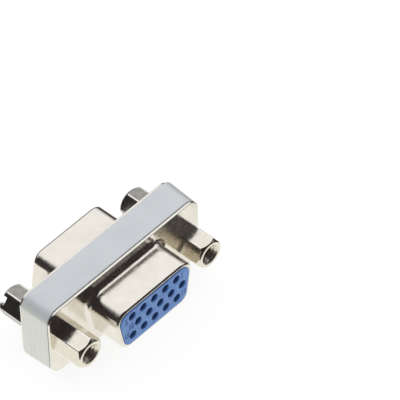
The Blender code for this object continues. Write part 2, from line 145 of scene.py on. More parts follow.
# Numerals moulded beside the ends of the pin rows
NUMERAL_SIZE = 1.6 * MM
NUMERAL_NARROWING = 0.66
NUMERAL_RAISE = 0.03 * MM
NUMERAL_BOLDNESS = 0.03 * MM
NUMERAL_SHIFTS = {
    1: (1.15 * MM, 0.0),
    5: (-1.25 * MM, -0.35 * MM),
    10: (-1.5 * MM, 0.0),
    11: (1.35 * MM, 0.2 * MM),
    15: (-1.3 * MM, 0.7 * MM),
}

# Noises in the finishes: how rich they are, and the values between which most of each one lies
NOISE_DETAIL = 3.0
RICH_DETAIL = 4.0
PLAIN_DETAIL = 2.0
NOISE_LOW = 0.3
NOISE_HIGH = 0.7

# Nickel plate. In every finish, a noise goes between the two tints and between the two values of
# roughness, a size is that of a noise's features, and a height is that of a bump
NICKEL_TINTS = ((0.83, 0.795, 0.745), (0.78, 0.74, 0.67))
NICKEL_ROUGHNESS = (0.12, 0.22)
NICKEL_CLOUD_SIZE = 2.4 * MM
NICKEL_PEEL_SIZE = 0.9 * MM
NICKEL_PEEL_HEIGHT = 0.019 * MM
NICKEL_GRAIN_SIZE = 0.06 * MM
NICKEL_GRAIN_HEIGHT = 0.0004 * MM

# Plated bar of the nuts and of the duller screws, with lines along it
BRIGHT_TINTS = ((0.80, 0.76, 0.68), (0.76, 0.72, 0.63))
BRIGHT_ROUGHNESS = (0.1, 0.18)
BRIGHT_LINE_HEIGHT = 0.0011 * MM
DULL_TINTS = ((0.38, 0.37, 0.345), (0.30, 0.29, 0.27))
DULL_ROUGHNESS = (0.2, 0.3)
DULL_LINE_HEIGHT = 0.0015 * MM
BAR_LINE_SIZE = 0.05 * MM
BAR_LINE_STRETCH = (1.0, 60.0, 1.0)
BAR_CLOUD_SIZE = 1.1 * MM

# Painted highlight on the ridges of the hexagons, between these distances from their axis
PAINTED_RIDGE_HIGHLIGHT = (0.92, 0.9, 0.85)
RIDGE_HIGHLIGHT_RADII = (2.5 * MM, 2.58 * MM)

# Cut threads
THREAD_TINTS = ((0.84, 0.8, 0.72), (0.68, 0.64, 0.54))
THREAD_ROUGHNESS = (0.24, 0.38)
THREAD_LINE_SIZE = 0.12 * MM

# Satin grey of the frame
FRAME_TINTS = ((0.63, 0.656, 0.684), (0.588, 0.614, 0.642))
FRAME_ROUGHNESS = (0.36, 0.46)
FRAME_METALLIC = 0.35
FRAME_CLOUD_SIZE = 5.0 * MM
FRAME_STREAK_SIZE = 0.16 * MM
FRAME_STREAK_STRETCH = (1.0, 1.0, 30.0)
FRAME_STREAK_HEIGHT = 0.001 * MM
FRAME_GRAIN_SIZE = 0.05 * MM
FRAME_GRAIN_HEIGHT = 0.0015 * MM

# Painted reflection of the floor: the frame turns paler and greener round its left end, between
# these places
PAINTED_FLOOR_REFLECTION_TINTS = ((0.64, 0.665, 0.62), (0.74, 0.755, 0.715))
FLOOR_REFLECTION_PLACES = (-14.9 * MM, -15.5 * MM)

# Blue mouldings, and the darker blue of their numerals, which is painted shade on the small raised
# figures
BLUE_TINTS = ((0.115, 0.243, 0.54), (0.088, 0.205, 0.49))
# Painted shade: the raised numerals are the same plastic, drawn darker
NUMERAL_PAINTED_SHADE_TINTS = ((0.03, 0.08, 0.28), (0.025, 0.065, 0.24))
BLUE_ROUGHNESS = (0.4, 0.52)
BLUE_CLOUD_SIZE = 1.6 * MM
BLUE_GRAIN_SIZE = 0.05 * MM
BLUE_GRAIN_HEIGHT = 0.002 * MM

# Painted shade: the blue turns dark inside the openings, between these depths below the face
PAINTED_HOLE_SHADE = (0.03, 0.08, 0.25)
HOLE_SHADE_START = 0.0
HOLE_SHADE_END = 0.2 * MM

# Gilt of the contacts
CONTACT_TINTS = ((0.86, 0.64, 0.28), (0.72, 0.48, 0.22))
CONTACT_ROUGHNESS = (0.2, 0.32)
CONTACT_CLOUD_SIZE = 0.5 * MM

# Board laminate
BOARD_TINTS = ((0.03, 0.18, 0.08), (0.05, 0.25, 0.12))
BOARD_ROUGHNESS = (0.4, 0.6)
BOARD_WEAVE_SIZE = 2.0 * MM
BOARD_WEAVE_HEIGHT = 0.01 * MM

# Facets
CORNER_SEGMENTS = 20
FILLET_SEGMENTS = 12
CURL_SEGMENTS = 10
ROUND_SEGMENTS = 5
HOLE_SEGMENTS = 48
CONTACT_SEGMENTS = 24
HEX_SEGMENTS = 96
THREAD_SEGMENTS = 64
THREAD_STEPS = 14
HEX_EDGE_SEGMENTS = 2
NUMERAL_CURVE_STEPS = 3
SMOOTH_ANGLE = math.radians(35)

# Camera, from the places of the pin holes and nuts in the photograph
CAMERA_PLACE = Vector((-268.603, -275.129, 444.353)) * MM
CAMERA_AIM = Vector((16.879, -1.969, 10.051)) * MM
CAMERA_ROLL = math.radians(-1.624)
CAMERA_LENS = 366.2
SENSOR = 36.0
CLIP_START = 10 * MM
CLIP_END = 6.0

# Studio: a wide soft box behind a straight edge, and dark walls. Metal mirrors the floor as a
# sheet of white paper, which ends at these distances from its middle and in front
WHITE = (1.0, 1.0, 1.0)
BLACK = (0.0, 0.0, 0.0)
BOX_SIDE = (0.655, 0.752, 0.06)
BOX_EDGE = (-0.05, 0.21)
BOX_FOOT = (0.0, 0.6)
BOX_LIGHT = 1.05
WALL_LIGHT = (0.033, 0.028, 0.03)
FILL_HIGH = 1.14
FILL_LOW = 0.86
FLOOR_SIZE = 3.0
FLOOR_GLOW = 0.85
FLOOR_ALBEDO = 0.18
PAPER_MIDDLE = (-4 * MM, 0.0, 0.0)
PAPER_EDGE = (26 * MM, 36 * MM)
PAPER_FRONT = (-14 * MM, -23 * MM)
MIRRORED_PAPER = (1.0, 1.0, 0.95)
BEYOND_PAPER = (0.06, 0.05, 0.04)


def outline(corners, radii, offset=0.0, segments=CORNER_SEGMENTS):
    """Points (x, z) round a convex polygon, anticlockwise, each corner rounded to its radius.

    An offset moves the whole outline outwards and keeps the centres of its corner arcs.
    """
    points = []
    for index, (corner, radius) in enumerate(zip(corners, radii)):
        corner = Vector(corner)
        before = (Vector(corners[index - 1]) - corner).normalized()
        after = (Vector(corners[(index + 1) % len(corners)]) - corner).normalized()
        half_angle = before.angle(after) / 2
        centre = corner + (before + after).normalized() * radius / math.sin(half_angle)
        start = math.atan2(before.x, -before.y)
        sweep = math.pi - 2 * half_angle
        for step in range(segments + 1):
            angle = start + sweep * step / segments
            reach = radius + offset
            x = centre.x + reach * math.cos(angle)
            z = centre.y + reach * math.sin(angle)
            points.append((x, z))
    return points


def rectangle_outline(width, height, corner_radius, offset=0.0):
    right, top = width / 2, height / 2
    corners = [(right, top), (-right, top), (-right, -top), (right, -top)]
    return outline(corners, [corner_radius] * len(corners), offset)


def collar_outline(offset=0.0):
    """The D of the collar's outer wall, wide side up, or a parallel of it."""
    right, top = COLLAR_WIDTH / 2, COLLAR_HEIGHT / 2
    narrow = right - COLLAR_HEIGHT * math.tan(COLLAR_SLANT)
    corners = [(right, top), (-right, top), (-narrow, -top), (narrow, -top)]
    radii = [COLLAR_WIDE_CORNER] * 2 + [COLLAR_NARROW_CORNER] * 2
    return outline(corners, radii, offset)


def circle_outline(centre, radius, segments=HOLE_SEGMENTS):
    x, z = centre
    angles = [2 * math.pi * step / segments for step in range(segments)]
    return [(x + radius * math.cos(angle), z + radius * math.sin(angle)) for angle in angles]


def quarter_arc(segments):
    """Sine and cosine at even steps over a quarter turn."""
    angles = [math.pi / 2 * step / segments for step in range(segments + 1)]
    return [(math.sin(angle), math.cos(angle)) for angle in angles]


def ring(mesh, points, out):
    """A ring of vertices at this distance out from the middle plane, facing the front."""
    return [mesh.verts.new((x, -out, z)) for x, z in points]


def skin(mesh, rings):
    """Quads between each ring and the next, which has as many points."""
    for first, second in zip(rings, rings[1:]):
        for index in range(len(first)):
            following = (index + 1) % len(first)
            mesh.faces.new((first[index], first[following], second[following], second[index]))


def cap(mesh, rings):
    """A flat face bounded by the first ring, with each other ring a hole in it."""
    edges = []
    for points in rings:
        for index, point in enumerate(points):
            pair = (points[index - 1], point)
            edges.append(mesh.edges.get(pair) or mesh.edges.new(pair))
    bmesh.ops.triangle_fill(mesh, use_beauty=True, edges=edges)


def finish_mesh(mesh, name):
    bmesh.ops.recalc_face_normals(mesh, faces=mesh.faces)
    data = bpy.data.meshes.new(name)
    mesh.to_mesh(data)
    mesh.free()
    data.shade_smooth()
    data.set_sharp_from_angle(angle=SMOOTH_ANGLE)
    return data


def revolve(name, profile, segments, closed):
    """Turns (radius, out) points about the Y axis: a ring if closed, or a body with flat ends."""
    mesh = bmesh.new()
    rings = []
    for radius, out in profile:
        rings.append(ring(mesh, circle_outline((0.0, 0.0), radius, segments), out))
    if closed:
        skin(mesh, rings + rings[:1])
    else:
        skin(mesh, rings)
        mesh.faces.new(rings[0])
        mesh.faces.new(rings[-1])
    return finish_mesh(mesh, name)


def box_cutter(name, size, centre, turn=0.0):
    """A box that is turned about the Y axis, anticlockwise as the front is seen."""
    mesh = bmesh.new()
    bmesh.ops.create_cube(mesh, size=1.0)
    for vertex in mesh.verts:
        x, y, z = (extent * share for extent, share in zip(size, vertex.co))
        turned_x = x * math.cos(turn) - z * math.sin(turn)
        turned_z = x * math.sin(turn) + z * math.cos(turn)
        vertex.co = Vector((turned_x, y, turned_z)) + Vector(centre)
    return finish_mesh(mesh, name)


def cut(data, cutters):
    """The mesh with each cutter mesh taken out of it."""
    work = bpy.data.objects.new("work", data)
    bpy.context.collection.objects.link(work)
    helpers = []
    for cutter in cutters:
        helper = bpy.data.objects.new(cutter.name, cutter)
        bpy.context.collection.objects.link(helper)
        helpers.append(helper)
        modifier = work.modifiers.new(cutter.name, "BOOLEAN")
        modifier.operation = "DIFFERENCE"
        modifier.solver = "MANIFOLD"
        modifier.object = helper
    bpy.context.view_layer.update()
    evaluated = work.evaluated_get(bpy.context.evaluated_depsgraph_get())
    mesh = bmesh.new()
    mesh.from_mesh(evaluated.to_mesh())
    for item in [work, *helpers]:
        bpy.data.objects.remove(item)
    return finish_mesh(mesh, data.name)


def add_piece(name, data, material, location, rotation=(0.0, 0.0, 0.0), stands_for=()):
    """A piece of the adapter, in its place and riding on its one body."""
    piece = bpy.data.objects.new(name, data)
    if not data.materials:
        data.materials.append(material)
    bpy.context.scene.collection.objects.link(piece)
    piece.location = location
    piece.rotation_euler = rotation
    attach(piece, "root")
    if stands_for:
        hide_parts(*stands_for)
    return piece


def keep_flats_flat(piece):
    """Shades each large flat face flat, and only its narrow neighbours round."""
    modifier = piece.modifiers.new("weighted_normals", "WEIGHTED_NORMAL")
    modifier.keep_sharp = True


def read_sizes():
    """Distances from the middle plane and outer sizes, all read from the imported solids."""
    shell_low, shell_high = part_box("front_shell")
    frame_low, frame_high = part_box("spacer_frame")
    insulator_low, insulator_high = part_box("front_insulator")
    nut_low, nut_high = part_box("front_left_jack_nut")
    right_nut_low, right_nut_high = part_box("front_right_jack_nut")
    screw_low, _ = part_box("rear_left_jack_screw")
    contact_low, contact_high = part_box("front_contact_01")
    pins = []
    for number in range(1, PIN_COUNT + 1):
        low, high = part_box(f"front_contact_{number:02d}")
        pins.append(((low.x + high.x) / 2, (low.z + high.z) / 2))
    axis_height = (shell_low.z + shell_high.z) / 2
    return {
        "axis_height": axis_height,
        "flange_width": shell_high.x - shell_low.x,
        "flange_height": shell_high.z - shell_low.z,
        "flange_back": -shell_high.y,
        "flange_face": -shell_high.y + SHEET,
        "rim": -shell_low.y,
        "frame_width": frame_high.x - frame_low.x - 2 * FRAME_DRAFT,
        "frame_height": frame_high.z - frame_low.z - FRAME_DRAFT,
        "frame_front": -frame_low.y,
        "frame_rear": -frame_high.y,
        "base_width": insulator_high.x - insulator_low.x,
        "base_height": insulator_high.z - insulator_low.z,
        "base_back": -insulator_high.y,
        "nose_face": -insulator_low.y - NUMERAL_RAISE,
        "left_axis": (nut_low.x + nut_high.x) / 2,
        "right_axis": (right_nut_low.x + right_nut_high.x) / 2,
        "hex_seat": -nut_high.y,
        "hex_end": -nut_low.y,
        "stud_tip": screw_low.y,
        "contact_mouth": -contact_low.y,
        "contact_tail": -contact_high.y,
        "pins": [(x, z - axis_height) for x, z in pins],
    }


def shell_mesh(size, rim_round):
    """One sheet of even thickness: flange, root bend, collar and the curl of its rim."""
    mesh = bmesh.new()
    face, back, rim = size["flange_face"], size["flange_back"], size["rim"]

    back_bend = []
    back_radius = ROOT_FILLET + SHEET
    for sine, cosine in quarter_arc(FILLET_SEGMENTS):
        points = collar_outline(ROOT_FILLET - back_radius * sine)
        back_bend.append(ring(mesh, points, face + ROOT_FILLET - back_radius * cosine))
    curl_inside = []
    curl_outside = []
    centre_out = rim - rim_round
    for sine, cosine in quarter_arc(CURL_SEGMENTS):
        inside = collar_outline((RIM_LIP_END - SHEET) * cosine - RIM_LIP_END)
        curl_inside.append(ring(mesh, inside, centre_out + RIM_INNER_ROUND * sine))
        outside = collar_outline(rim_round * (cosine - 1))
        curl_outside.append(ring(mesh, outside, centre_out + rim_round * sine))
    curl_outside.append(ring(mesh, collar_outline(-RIM_LIP_END), rim))
    front_bend = []
    for sine, cosine in reversed(quarter_arc(FILLET_SEGMENTS)):
        points = collar_outline(ROOT_FILLET * (1 - sine))
        front_bend.append(ring(mesh, points, face + ROOT_FILLET * (1 - cosine)))
    skin(mesh, back_bend + curl_inside + curl_outside[::-1] + front_bend)

    flange = (size["flange_width"], size["flange_height"], FLANGE_CORNER)
    flange_edge = []
    for sine, cosine in quarter_arc(ROUND_SEGMENTS):
        points = rectangle_outline(*flange, FLANGE_EDGE_ROUND * (sine - 1))
        flange_edge.append(ring(mesh, points, face - FLANGE_EDGE_ROUND * (1 - cosine)))
    flange_edge.append(ring(mesh, rectangle_outline(*flange), back))
    skin(mesh, flange_edge)

    front_holes = []
    back_holes = []
    for x in (size["left_axis"], size["right_axis"]):
        circle = circle_outline((x, 0.0), SCREW_HOLE_RADIUS)
        front_holes.append(ring(mesh, circle, face))
        back_holes.append(ring(mesh, circle, back))
        skin(mesh, [front_holes[-1], back_holes[-1]])
    cap(mesh, [flange_edge[0], front_bend[-1], *front_holes])
    cap(mesh, [flange_edge[-1], back_bend[0], *back_holes])
    return finish_mesh(mesh, "shell")


def insulator_mesh(size):
    """D-shaped nose on a base with a pocket for the solder tails, and 15 stepped cavities."""
    mesh = bmesh.new()
    base_width, base_height, base_back = size["base_width"], size["base_height"], size["base_back"]
    nose_offset = -(RIM_LIP_END + NOSE_CLEARANCE)
    base_face = size["flange_back"] - BASE_SETBACK
    base_points = rectangle_outline(base_width, base_height, WINDOW_CORNER - WINDOW_CLEARANCE)
    nose = []
    for sine, cosine in quarter_arc(ROUND_SEGMENTS):
        points = collar_outline(nose_offset - NOSE_EDGE * (1 - sine))
        nose.append(ring(mesh, points, size["nose_face"] - NOSE_EDGE * (1 - cosine)))
    nose.append(ring(mesh, collar_outline(nose_offset), base_face))
    skin(mesh, nose)
    base = [ring(mesh, base_points, base_face), ring(mesh, base_points, base_back)]
    skin(mesh, base)
    cap(mesh, [base[0], nose[-1]])
    pocket_floor = base_back + POCKET_DEPTH
    pocket_width, pocket_height = base_width - 2 * POCKET_RIM, base_height - 2 * POCKET_RIM
    pocket_points = rectangle_outline(pocket_width, pocket_height, POCKET_CORNER)
    pocket = [ring(mesh, pocket_points, base_back), ring(mesh, pocket_points, pocket_floor)]
    skin(mesh, pocket)
    cap(mesh, [base[-1], pocket[0]])

    mouths = []
    cavity_ends = []
    step_out = size["nose_face"] - ENTRY_DEPTH
    for centre in size["pins"]:
        hole = []
        for sine, cosine in quarter_arc(ROUND_SEGMENTS):
            radius = ENTRY_RADIUS + ENTRY_ROUND * (1 - sine)
            depth = ENTRY_ROUND * (1 - cosine)
            hole.append(ring(mesh, circle_outline(centre, radius), size["nose_face"] - depth))
        hole.append(ring(mesh, circle_outline(centre, ENTRY_RADIUS), step_out))
        hole.append(ring(mesh, circle_outline(centre, CAVITY_RADIUS), step_out))
        hole.append(ring(mesh, circle_outline(centre, CAVITY_RADIUS), pocket_floor))
        skin(mesh, hole)
        mouths.append(hole[0])
        cavity_ends.append(hole[-1])
    cap(mesh, [nose[0], *mouths])
    cap(mesh, [pocket[-1], *cavity_ends])
    return finish_mesh(mesh, "insulator")


def contact_mesh(size):
    """A turned blank with a bored barrel, slit across into two spring tines."""
    grip_radius = CAVITY_RADIUS - GRIP_CLEARANCE
    grip_back = size["base_back"] + POCKET_DEPTH + GRIP_SETBACK
    grip_front = grip_back + GRIP_LENGTH
    mouth = size["contact_mouth"]
    profile = [
        (BARREL_BORE_RADIUS, mouth - BARREL_BORE_DEPTH),
        (BARREL_BORE_RADIUS, mouth - BARREL_LEAD_IN),
        (BARREL_BORE_RADIUS + BARREL_LEAD_IN, mouth),
        (BARREL_RADIUS, mouth),
        (BARREL_RADIUS, grip_front),
        (grip_radius, grip_front),
        (grip_radius, grip_back),
        (TAIL_RADIUS, grip_back),
        (TAIL_RADIUS, size["contact_tail"]),
    ]
    blank = revolve("contact", profile, CONTACT_SEGMENTS, closed=False)
    slit_size = (SLIT_WIDTH, 2 * SLIT_DEPTH, 2 * (BARREL_RADIUS + CUTTER_MARGIN))
    return cut(blank, [box_cutter("slit", slit_size, (0.0, -mouth, 0.0))])


def frame_mesh(size):
    """The spacer frame: a window for the insulators' bases and a bore for each stud."""
    front, rear = size["frame_front"], size["frame_rear"]
    mesh = bmesh.new()
    arc = quarter_arc(ROUND_SEGMENTS)
    stations = []
    for sine, cosine in arc:
        stations.append((0.0, sine, front - FRAME_EDGE_ROUND * (1 - cosine)))
    for sine, cosine in reversed(arc):
        stations.append((FRAME_DRAFT, sine, rear + FRAME_EDGE_ROUND * (1 - cosine)))
    sides = []
    for draft, sine, out in stations:
        width = size["frame_width"] + 2 * draft
        height = size["frame_height"] + draft
        points = rectangle_outline(width, height, FRAME_CORNER, FRAME_EDGE_ROUND * (sine - 1))
        sides.append(ring(mesh, [(x, z + draft / 2) for x, z in points], out))
    skin(mesh, sides)

    window_width = size["base_width"] + 2 * WINDOW_CLEARANCE
    window_height = size["base_height"] + 2 * WINDOW_CLEARANCE
    openings = [rectangle_outline(window_width, window_height, WINDOW_CORNER)]
    for x in (size["left_axis"], size["right_axis"]):
        openings.append(circle_outline((x, 0.0), SCREW_HOLE_RADIUS))
    front_rings = [ring(mesh, points, front) for points in openings]
    rear_rings = [ring(mesh, points, rear) for points in openings]
    for front_ring, rear_ring in zip(front_rings, rear_rings):
        skin(mesh, [front_ring, rear_ring])
    cap(mesh, [sides[0], *front_rings])
    cap(mesh, [sides[-1], *rear_rings])
    return finish_mesh(mesh, "frame")


def hex_ring_cutter(size):
    """Everything outside the hexagon, along the length of the head."""
    mesh = bmesh.new()
    corners = circle_outline((0.0, 0.0), HEX_CORNER_RADIUS, HEX_SIDES)
    radii = [HEX_CORNER_ROUND] * len(corners)
    inner = outline(corners, radii, segments=ROUND_SEGMENTS)
    outer = outline(corners, radii, HEX_CORNER_RADIUS, ROUND_SEGMENTS)
    near = size["hex_seat"] - CUTTER_OVERLAP
    far = size["hex_end"] + CUTTER_MARGIN
    stations = [(inner, near), (inner, far), (outer, far), (outer, near)]
    rings = [ring(mesh, points, out) for points, out in stations]
    skin(mesh, rings + rings[:1])
    return finish_mesh(mesh, "hex_ring")


def head_profile(size):
    """The head's outside from its seat to the mouth of its bore."""
    end = size["hex_end"]
    return [
        (HEX_CORNER_RADIUS, size["hex_seat"]),
        (HEX_CORNER_RADIUS, end - END_CHAMFER),
        (HEX_CORNER_RADIUS - END_CHAMFER, end),
        (THREAD_RADIUS + COUNTERSINK, end),
    ]


def jack_nut_mesh(size):
    """A hexagon nut with one chamfered end. Its bore is lined by the thread."""
    profile = [*head_profile(size), (THREAD_RADIUS + COUNTERSINK, size["hex_seat"])]
    blank = revolve("jack_nut", profile, HEX_SEGMENTS, closed=True)
    return cut(blank, [hex_ring_cutter(size)])


def driver_slot(size):
    length = 2 * (HEX_CORNER_RADIUS + CUTTER_MARGIN)
    slot_size = (length, 2 * DRIVER_SLOT_DEPTH, DRIVER_SLOT_WIDTH)
    return box_cutter("driver_slot", slot_size, (0.0, -size["hex_end"], 0.0), DRIVER_SLOT_ANGLE)


def jack_screw_mesh(size):
    """A hexagon head with a socket and a driver slot, and the long stud behind it."""
    stud_radius = THREAD_RADIUS - STUD_CLEARANCE
    tip = size["stud_tip"]
    profile = [
        (stud_radius - STUD_TIP_CHAMFER, tip),
        (stud_radius, tip + STUD_TIP_CHAMFER),
        (stud_radius, size["hex_seat"]),
        *head_profile(size),
        (THREAD_RADIUS + COUNTERSINK, size["hex_end"] - SCREW_BORE_DEPTH),
    ]
    blank = revolve("jack_screw", profile, HEX_SEGMENTS, closed=False)
    return cut(blank, [hex_ring_cutter(size), driver_slot(size)])


def thread_mesh(size, depth, slotted):
    """A sleeve in the bore: its inner wall is a real helical thread with a countersunk mouth."""
    mesh = bmesh.new()
    end = size["hex_end"]
    mouth_radius = THREAD_RADIUS + COUNTERSINK
    steps = math.ceil(depth / THREAD_PITCH * THREAD_STEPS)
    rings = []
    for step in range(steps + 1):
        into = depth * step / steps
        sink_radius = mouth_radius - into
        points = []
        for index in range(THREAD_SEGMENTS):
            turn = index / THREAD_SEGMENTS
            phase = (into / THREAD_PITCH - turn) % 1.0
            crest = 1 - abs(2 * phase - 1)
            radius = max(THREAD_RADIUS - THREAD_HEIGHT * crest, sink_radius)
            angle = 2 * math.pi * turn
            points.append((radius * math.cos(angle), radius * math.sin(angle)))
        rings.append(ring(mesh, points, end - into))
    outer = circle_outline((0.0, 0.0), mouth_radius + LINER_OVERLAP, THREAD_SEGMENTS)
    rings.append(ring(mesh, outer, end - depth))
    rings.append(ring(mesh, outer, end - LINER_OVERLAP))
    skin(mesh, rings + rings[:1])
    data = finish_mesh(mesh, "thread")
    return cut(data, [driver_slot(size)]) if slotted else data


def numeral_mesh(size):
    """The pin numbers beside both ends of the rows, raised from the insulator's face."""
    mesh = bmesh.new()
    for number, (shift_x, shift_z) in NUMERAL_SHIFTS.items():
        x, z = size["pins"][number - 1]
        curve = bpy.data.curves.new("numeral", "FONT")
        curve.body = str(number)
        curve.size = NUMERAL_SIZE
        curve.extrude = NUMERAL_RAISE
        curve.align_x = "CENTER"
        curve.align_y = "CENTER"
        curve.resolution_u = NUMERAL_CURVE_STEPS
        curve.offset = NUMERAL_BOLDNESS
        letter = bpy.data.objects.new("numeral", curve)
        bpy.context.collection.objects.link(letter)
        letter.location = (x + shift_x, -size["nose_face"], z + shift_z)
        letter.rotation_euler = (math.pi / 2, 0.0, 0.0)
        letter.scale = (NUMERAL_NARROWING, 1.0, 1.0)
        bpy.context.view_layer.update()
        evaluated = letter.evaluated_get(bpy.context.evaluated_depsgraph_get())
        data = bpy.data.meshes.new_from_object(evaluated)
        data.transform(letter.matrix_world)
        mesh.from_mesh(data)
        bpy.data.objects.remove(letter)
    return finish_mesh(mesh, "numerals")


def add_node(tree, kind, settings=None, **inputs):
    """A shader node. Each input is a value or another output, with _ for a space in its name."""
    node = tree.nodes.new("ShaderNode" + kind)
    for name, value in (settings or {}).items():
        setattr(node, name, value)
    for name, value in inputs.items():
        socket = node.inputs[name.replace("_", " ")]
        if isinstance(value, bpy.types.NodeSocket):
            tree.links.new(value, socket)
        else:
            socket.default_value = value
    return node


def new_material(name):
    material = bpy.data.materials.new(name)
    material.use_nodes = True
    tree = material.node_tree
    shader = tree.nodes["Principled BSDF"]
    place = add_node(tree, "TexCoord").outputs["Object"]
    return material, tree, shader, place


def noise(tree, place, feature, detail=NOISE_DETAIL, stretch=(1.0, 1.0, 1.0)):
    """Noise with features of this size, drawn out along an axis by a stretch over 1."""
    scale = tuple(1 / (feature * factor) for factor in stretch)
    mapped = add_node(tree, "Mapping", Vector=place, Scale=scale).outputs["Vector"]
    node = add_node(tree, "TexNoise", Vector=mapped, Scale=1.0, Detail=detail)
    return node.outputs["Fac"]


def spread(tree, value, low, high):
    """The middle part of a noise, spread over a range."""
    node = add_node(
        tree, "MapRange", Value=value,
        From_Min=NOISE_LOW, From_Max=NOISE_HIGH, To_Min=low, To_Max=high,
    )
    return node.outputs["Result"]


def soft_step(tree, value, start, end):
    """0 up to the start and 1 from the end, with a smooth slope between."""
    settings = {"interpolation_type": "SMOOTHSTEP"}
    node = add_node(tree, "MapRange", settings, Value=value, From_Min=start, From_Max=end)
    return node.outputs["Result"]


def blend(tree, factor, first, second):
    """The first colour at 0 and the second at 1. Each is a colour or another node's output."""
    node = add_node(tree, "Mix", {"data_type": "RGBA"}, Factor=factor)
    ends = [socket for socket in node.inputs if socket.type == "RGBA"]
    for socket, colour in zip(ends, (first, second)):
        if isinstance(colour, bpy.types.NodeSocket):
            tree.links.new(colour, socket)
        else:
            socket.default_value = (*colour, 1.0)
    return next(socket for socket in node.outputs if socket.type == "RGBA")


def mottle(tree, value, tints):
    """A pair of tints, mixed by a noise."""
    return blend(tree, spread(tree, value, 0.0, 1.0), *tints)


def combine(tree, operation, first, second):
    """Two other nodes' outputs, put together by one step of arithmetic."""
    node = add_node(tree, "Math", {"operation": operation})
    tree.links.new(first, node.inputs[0])
    tree.links.new(second, node.inputs[1])
    return node.outputs["Value"]


def measure(tree, operation, vector, reference):
    """A number from another node's vector and a fixed one, such as their distance."""
    node = add_node(tree, "VectorMath", {"operation": operation})
    tree.links.new(vector, node.inputs[0])
    node.inputs[1].default_value = reference
    return node.outputs["Value"]


def bump(tree, height, distance, after=None):
    node = add_node(tree, "Bump", Height=height, Distance=distance, Strength=1.0)
    if after:
        tree.links.new(after, node.inputs["Normal"])
    return node.outputs["Normal"]


def nickel_material():
    """Bright nickel on drawn steel: faint orange peel, clouded gloss and a little warm stain."""
    material, tree, shader, place = new_material("nickel_plate")
    cloud = noise(tree, place, NICKEL_CLOUD_SIZE, RICH_DETAIL)
    peel = noise(tree, place, NICKEL_PEEL_SIZE)
    grain = noise(tree, place, NICKEL_GRAIN_SIZE, PLAIN_DETAIL)
    tree.links.new(mottle(tree, cloud, NICKEL_TINTS), shader.inputs["Base Color"])
    shader.inputs["Metallic"].default_value = 1.0
    tree.links.new(spread(tree, cloud, *NICKEL_ROUGHNESS), shader.inputs["Roughness"])
    fine = bump(tree, grain, NICKEL_GRAIN_HEIGHT)
    tree.links.new(bump(tree, peel, NICKEL_PEEL_HEIGHT, fine), shader.inputs["Normal"])
    return material


def bar_material(name, tints, roughness, line_height):
    """Plated hexagon bar: lines along its flats and a painted highlight on its ridges."""
    material, tree, shader, place = new_material(name)
    lines = noise(tree, place, BAR_LINE_SIZE, stretch=BAR_LINE_STRETCH)
    cloud = noise(tree, place, BAR_CLOUD_SIZE)
    # Without its y, a place lies as far from the origin as from the hexagon's axis
    across = add_node(tree, "VectorMath", {"operation": "MULTIPLY"})
    tree.links.new(place, across.inputs[0])
    across.inputs[1].default_value = (1.0, 0.0, 1.0)
    radius = measure(tree, "DISTANCE", across.outputs["Vector"], (0.0, 0.0, 0.0))
    # Painted highlight: the tint turns bright near the hexagon's ridges
    ridge_highlight = soft_step(tree, radius, *RIDGE_HIGHLIGHT_RADII)
    tint = blend(tree, ridge_highlight, mottle(tree, cloud, tints), PAINTED_RIDGE_HIGHLIGHT)
    tree.links.new(tint, shader.inputs["Base Color"])
    shader.inputs["Metallic"].default_value = 1.0
    tree.links.new(spread(tree, cloud, *roughness), shader.inputs["Roughness"])
    tree.links.new(bump(tree, lines, line_height), shader.inputs["Normal"])
    return material


def thread_material():
    """The cut thread: the same plating, thinner and darker, finely mottled."""
    material, tree, shader, place = new_material("cut_thread")
    lines = noise(tree, place, THREAD_LINE_SIZE)
    tree.links.new(mottle(tree, lines, THREAD_TINTS), shader.inputs["Base Color"])
    shader.inputs["Metallic"].default_value = 1.0
    tree.links.new(spread(tree, lines, *THREAD_ROUGHNESS), shader.inputs["Roughness"])
    return material


def frame_material():
    """Satin grey finish: fine even grain, and a painted floor reflection that makes the left end
    paler, with streaks up its height.
    """
    material, tree, shader, place = new_material("satin_grey")
    cloud = noise(tree, place, FRAME_CLOUD_SIZE)
    streaks = noise(tree, place, FRAME_STREAK_SIZE, stretch=FRAME_STREAK_STRETCH)
    grain = noise(tree, place, FRAME_GRAIN_SIZE, PLAIN_DETAIL)
    across = add_node(tree, "SeparateXYZ", Vector=place).outputs["X"]
    # Painted reflection of the floor on the frame's left end
    floor_reflection = soft_step(tree, across, *FLOOR_REFLECTION_PLACES)
    tint = blend(tree, floor_reflection, mottle(tree, cloud, FRAME_TINTS), mottle(tree, streaks, PAINTED_FLOOR_REFLECTION_TINTS))
    tree.links.new(tint, shader.inputs["Base Color"])
    shader.inputs["Metallic"].default_value = FRAME_METALLIC
    tree.links.new(spread(tree, streaks, *FRAME_ROUGHNESS), shader.inputs["Roughness"])
    fine = bump(tree, grain, FRAME_GRAIN_HEIGHT)
    tree.links.new(bump(tree, streaks, FRAME_STREAK_HEIGHT, fine), shader.inputs["Normal"])
    return material


def blue_material(name, tints, nose_face):
    """Moulded thermoplastic with a fine matt texture and flow marks, and painted shade in its
    openings.
    """
    material, tree, shader, place = new_material(name)
    cloud = noise(tree, place, BLUE_CLOUD_SIZE, RICH_DETAIL)
    grain = noise(tree, place, BLUE_GRAIN_SIZE, PLAIN_DETAIL)
    depth = add_node(tree, "SeparateXYZ", Vector=place).outputs["Y"]
    # Painted shade inside the openings: the blue darkens below the face
    hole_shade = soft_step(tree, depth, HOLE_SHADE_START - nose_face, HOLE_SHADE_END - nose_face)
    tint = blend(tree, hole_shade, mottle(tree, cloud, tints), PAINTED_HOLE_SHADE)
    tree.links.new(tint, shader.inputs["Base Color"])
    tree.links.new(spread(tree, cloud, *BLUE_ROUGHNESS), shader.inputs["Roughness"])
    tree.links.new(bump(tree, grain, BLUE_GRAIN_HEIGHT), shader.inputs["Normal"])
    return material


